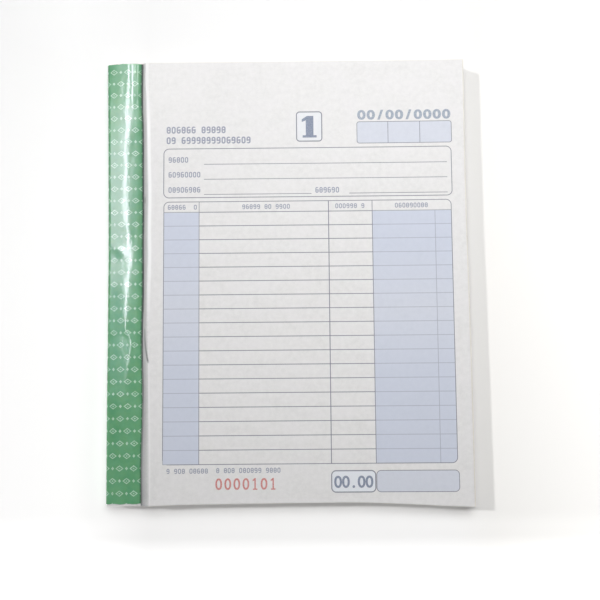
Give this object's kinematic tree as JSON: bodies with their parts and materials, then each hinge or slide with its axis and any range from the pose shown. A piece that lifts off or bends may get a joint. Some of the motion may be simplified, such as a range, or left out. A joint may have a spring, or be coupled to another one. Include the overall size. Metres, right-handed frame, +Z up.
{
  "type": "duplicate quotation book",
  "caption": "Side-bound duplicate book of printed order forms with a glossy green tape spine, card back, loose carbon sheet and leaves that turn at the crease.",
  "frame": {"origin": "middle of the book's outline, on the table under the card back", "axes": "+X from the spine to the fore edge, +Y to the head of the form, +Z up from the table"},
  "size_m": [0.138, 0.17, 0.0088],
  "materials": {
    "card": "matt",
    "tape_film": "gloss",
    "wire": "satin",
    "original_paper": "matt",
    "duplicate_paper": "matt",
    "carbon": "satin"
  },
  "bodies": {
    "pad": {"back_board": "card", "binding_tape": "tape_film", "staples": "wire", "original_margins": "original_paper", "duplicate_margins": "duplicate_paper"},
    "original_01_leaf": {"original_01": "original_paper"},
    "duplicate_01_leaf": {"duplicate_01": "duplicate_paper"},
    "original_02_leaf": {"original_02": "original_paper"},
    "duplicate_02_leaf": {"duplicate_02": "duplicate_paper"},
    "original_03_leaf": {"original_03": "original_paper"},
    "duplicate_03_leaf": {"duplicate_03": "duplicate_paper"},
    "original_04_leaf": {"original_04": "original_paper"},
    "duplicate_04_leaf": {"duplicate_04": "duplicate_paper"},
    "original_05_leaf": {"original_05": "original_paper"},
    "duplicate_05_leaf": {"duplicate_05": "duplicate_paper"},
    "sets_06_10_leaves": {"originals_06_10": "original_paper", "duplicates_06_10": "duplicate_paper"},
    "sets_11_15_leaves": {"originals_11_15": "original_paper", "duplicates_11_15": "duplicate_paper"},
    "sets_16_20_leaves": {"originals_16_20": "original_paper", "duplicates_16_20": "duplicate_paper"},
    "sets_21_25_leaves": {"originals_21_25": "original_paper", "duplicates_21_25": "duplicate_paper"},
    "sets_26_30_leaves": {"originals_26_30": "original_paper", "duplicates_26_30": "duplicate_paper"},
    "sets_31_35_leaves": {"originals_31_35": "original_paper", "duplicates_31_35": "duplicate_paper"},
    "sets_36_40_leaves": {"originals_36_40": "original_paper", "duplicates_36_40": "duplicate_paper"},
    "sets_41_45_leaves": {"originals_41_45": "original_paper", "duplicates_41_45": "duplicate_paper"},
    "sets_46_50_leaves": {"originals_46_50": "original_paper", "duplicates_46_50": "duplicate_paper"},
    "carbon": {"carbon_sheet": "carbon"}
  },
  "joints": [
    {"name": "original_01_turn", "type": "hinge", "parent": "pad", "child": "original_01_leaf", "pos_m": [-0.0528, 0, 0.0088], "axis": [0, -1, 0], "range_deg": [0, 172]},
    {"name": "duplicate_01_turn", "type": "hinge", "parent": "pad", "child": "duplicate_01_leaf", "pos_m": [-0.0528, 0, 0.0088], "axis": [0, -1, 0], "range_deg": [0, 162.97]},
    {"name": "original_02_turn", "type": "hinge", "parent": "pad", "child": "original_02_leaf", "pos_m": [-0.0528, 0, 0.0088], "axis": [0, -1, 0], "range_deg": [0, 153.89]},
    {"name": "duplicate_02_turn", "type": "hinge", "parent": "pad", "child": "duplicate_02_leaf", "pos_m": [-0.0528, 0, 0.0088], "axis": [0, -1, 0], "range_deg": [0, 144.82]},
    {"name": "original_03_turn", "type": "hinge", "parent": "pad", "child": "original_03_leaf", "pos_m": [-0.0528, 0, 0.0088], "axis": [0, -1, 0], "range_deg": [0, 135.74]},
    {"name": "duplicate_03_turn", "type": "hinge", "parent": "pad", "child": "duplicate_03_leaf", "pos_m": [-0.0528, 0, 0.0088], "axis": [0, -1, 0], "range_deg": [0, 126.66]},
    {"name": "original_04_turn", "type": "hinge", "parent": "pad", "child": "original_04_leaf", "pos_m": [-0.0528, 0, 0.0088], "axis": [0, -1, 0], "range_deg": [0, 117.58]},
    {"name": "duplicate_04_turn", "type": "hinge", "parent": "pad", "child": "duplicate_04_leaf", "pos_m": [-0.0528, 0, 0.0088], "axis": [0, -1, 0], "range_deg": [0, 108.51]},
    {"name": "original_05_turn", "type": "hinge", "parent": "pad", "child": "original_05_leaf", "pos_m": [-0.0528, 0, 0.0088], "axis": [0, -1, 0], "range_deg": [0, 99.43]},
    {"name": "duplicate_05_turn", "type": "hinge", "parent": "pad", "child": "duplicate_05_leaf", "pos_m": [-0.0528, 0, 0.0088], "axis": [0, -1, 0], "range_deg": [0, 90.35]},
    {"name": "sets_06_10_turn", "type": "hinge", "parent": "pad", "child": "sets_06_10_leaves", "pos_m": [-0.0528, 0, 0.0088], "axis": [0, -1, 0], "range_deg": [0, 81.27]},
    {"name": "sets_11_15_turn", "type": "hinge", "parent": "pad", "child": "sets_11_15_leaves", "pos_m": [-0.0528, 0, 0.0088], "axis": [0, -1, 0], "range_deg": [0, 72.19]},
    {"name": "sets_16_20_turn", "type": "hinge", "parent": "pad", "child": "sets_16_20_leaves", "pos_m": [-0.0528, 0, 0.0088], "axis": [0, -1, 0], "range_deg": [0, 63.12]},
    {"name": "sets_21_25_turn", "type": "hinge", "parent": "pad", "child": "sets_21_25_leaves", "pos_m": [-0.0528, 0, 0.0088], "axis": [0, -1, 0], "range_deg": [0, 54.04]},
    {"name": "sets_26_30_turn", "type": "hinge", "parent": "pad", "child": "sets_26_30_leaves", "pos_m": [-0.0528, 0, 0.0088], "axis": [0, -1, 0], "range_deg": [0, 44.96]},
    {"name": "sets_31_35_turn", "type": "hinge", "parent": "pad", "child": "sets_31_35_leaves", "pos_m": [-0.0528, 0, 0.0088], "axis": [0, -1, 0], "range_deg": [0, 35.88]},
    {"name": "sets_36_40_turn", "type": "hinge", "parent": "pad", "child": "sets_36_40_leaves", "pos_m": [-0.0528, 0, 0.0088], "axis": [0, -1, 0], "range_deg": [0, 26.81]},
    {"name": "sets_41_45_turn", "type": "hinge", "parent": "pad", "child": "sets_41_45_leaves", "pos_m": [-0.0528, 0, 0.0088], "axis": [0, -1, 0], "range_deg": [0, 17.73]},
    {"name": "sets_46_50_turn", "type": "hinge", "parent": "pad", "child": "sets_46_50_leaves", "pos_m": [-0.0528, 0, 0.0088], "axis": [0, -1, 0], "range_deg": [0, 8.65]},
    {"name": "carbon_slide", "type": "slide", "parent": "duplicate_01_leaf", "child": "carbon", "axis": [1, 0, 0], "range_m": [0, 0.115]}
  ],
  "couplings": [
    {"joint": "duplicate_01_turn", "follows": "original_01_turn", "ratio": 0.9472},
    {"joint": "original_02_turn", "follows": "original_01_turn", "ratio": 0.8944},
    {"joint": "duplicate_02_turn", "follows": "original_01_turn", "ratio": 0.8417},
    {"joint": "original_03_turn", "follows": "original_01_turn", "ratio": 0.7889},
    {"joint": "duplicate_03_turn", "follows": "original_01_turn", "ratio": 0.7361},
    {"joint": "original_04_turn", "follows": "original_01_turn", "ratio": 0.6833},
    {"joint": "duplicate_04_turn", "follows": "original_01_turn", "ratio": 0.6306},
    {"joint": "original_05_turn", "follows": "original_01_turn", "ratio": 0.5778},
    {"joint": "duplicate_05_turn", "follows": "original_01_turn", "ratio": 0.525},
    {"joint": "sets_06_10_turn", "follows": "original_01_turn", "ratio": 0.4722},
    {"joint": "sets_11_15_turn", "follows": "original_01_turn", "ratio": 0.4194},
    {"joint": "sets_16_20_turn", "follows": "original_01_turn", "ratio": 0.3667},
    {"joint": "sets_21_25_turn", "follows": "original_01_turn", "ratio": 0.3139},
    {"joint": "sets_26_30_turn", "follows": "original_01_turn", "ratio": 0.2611},
    {"joint": "sets_31_35_turn", "follows": "original_01_turn", "ratio": 0.2083},
    {"joint": "sets_36_40_turn", "follows": "original_01_turn", "ratio": 0.1556},
    {"joint": "sets_41_45_turn", "follows": "original_01_turn", "ratio": 0.1028},
    {"joint": "sets_46_50_turn", "follows": "original_01_turn", "ratio": 0.05}
  ]
}
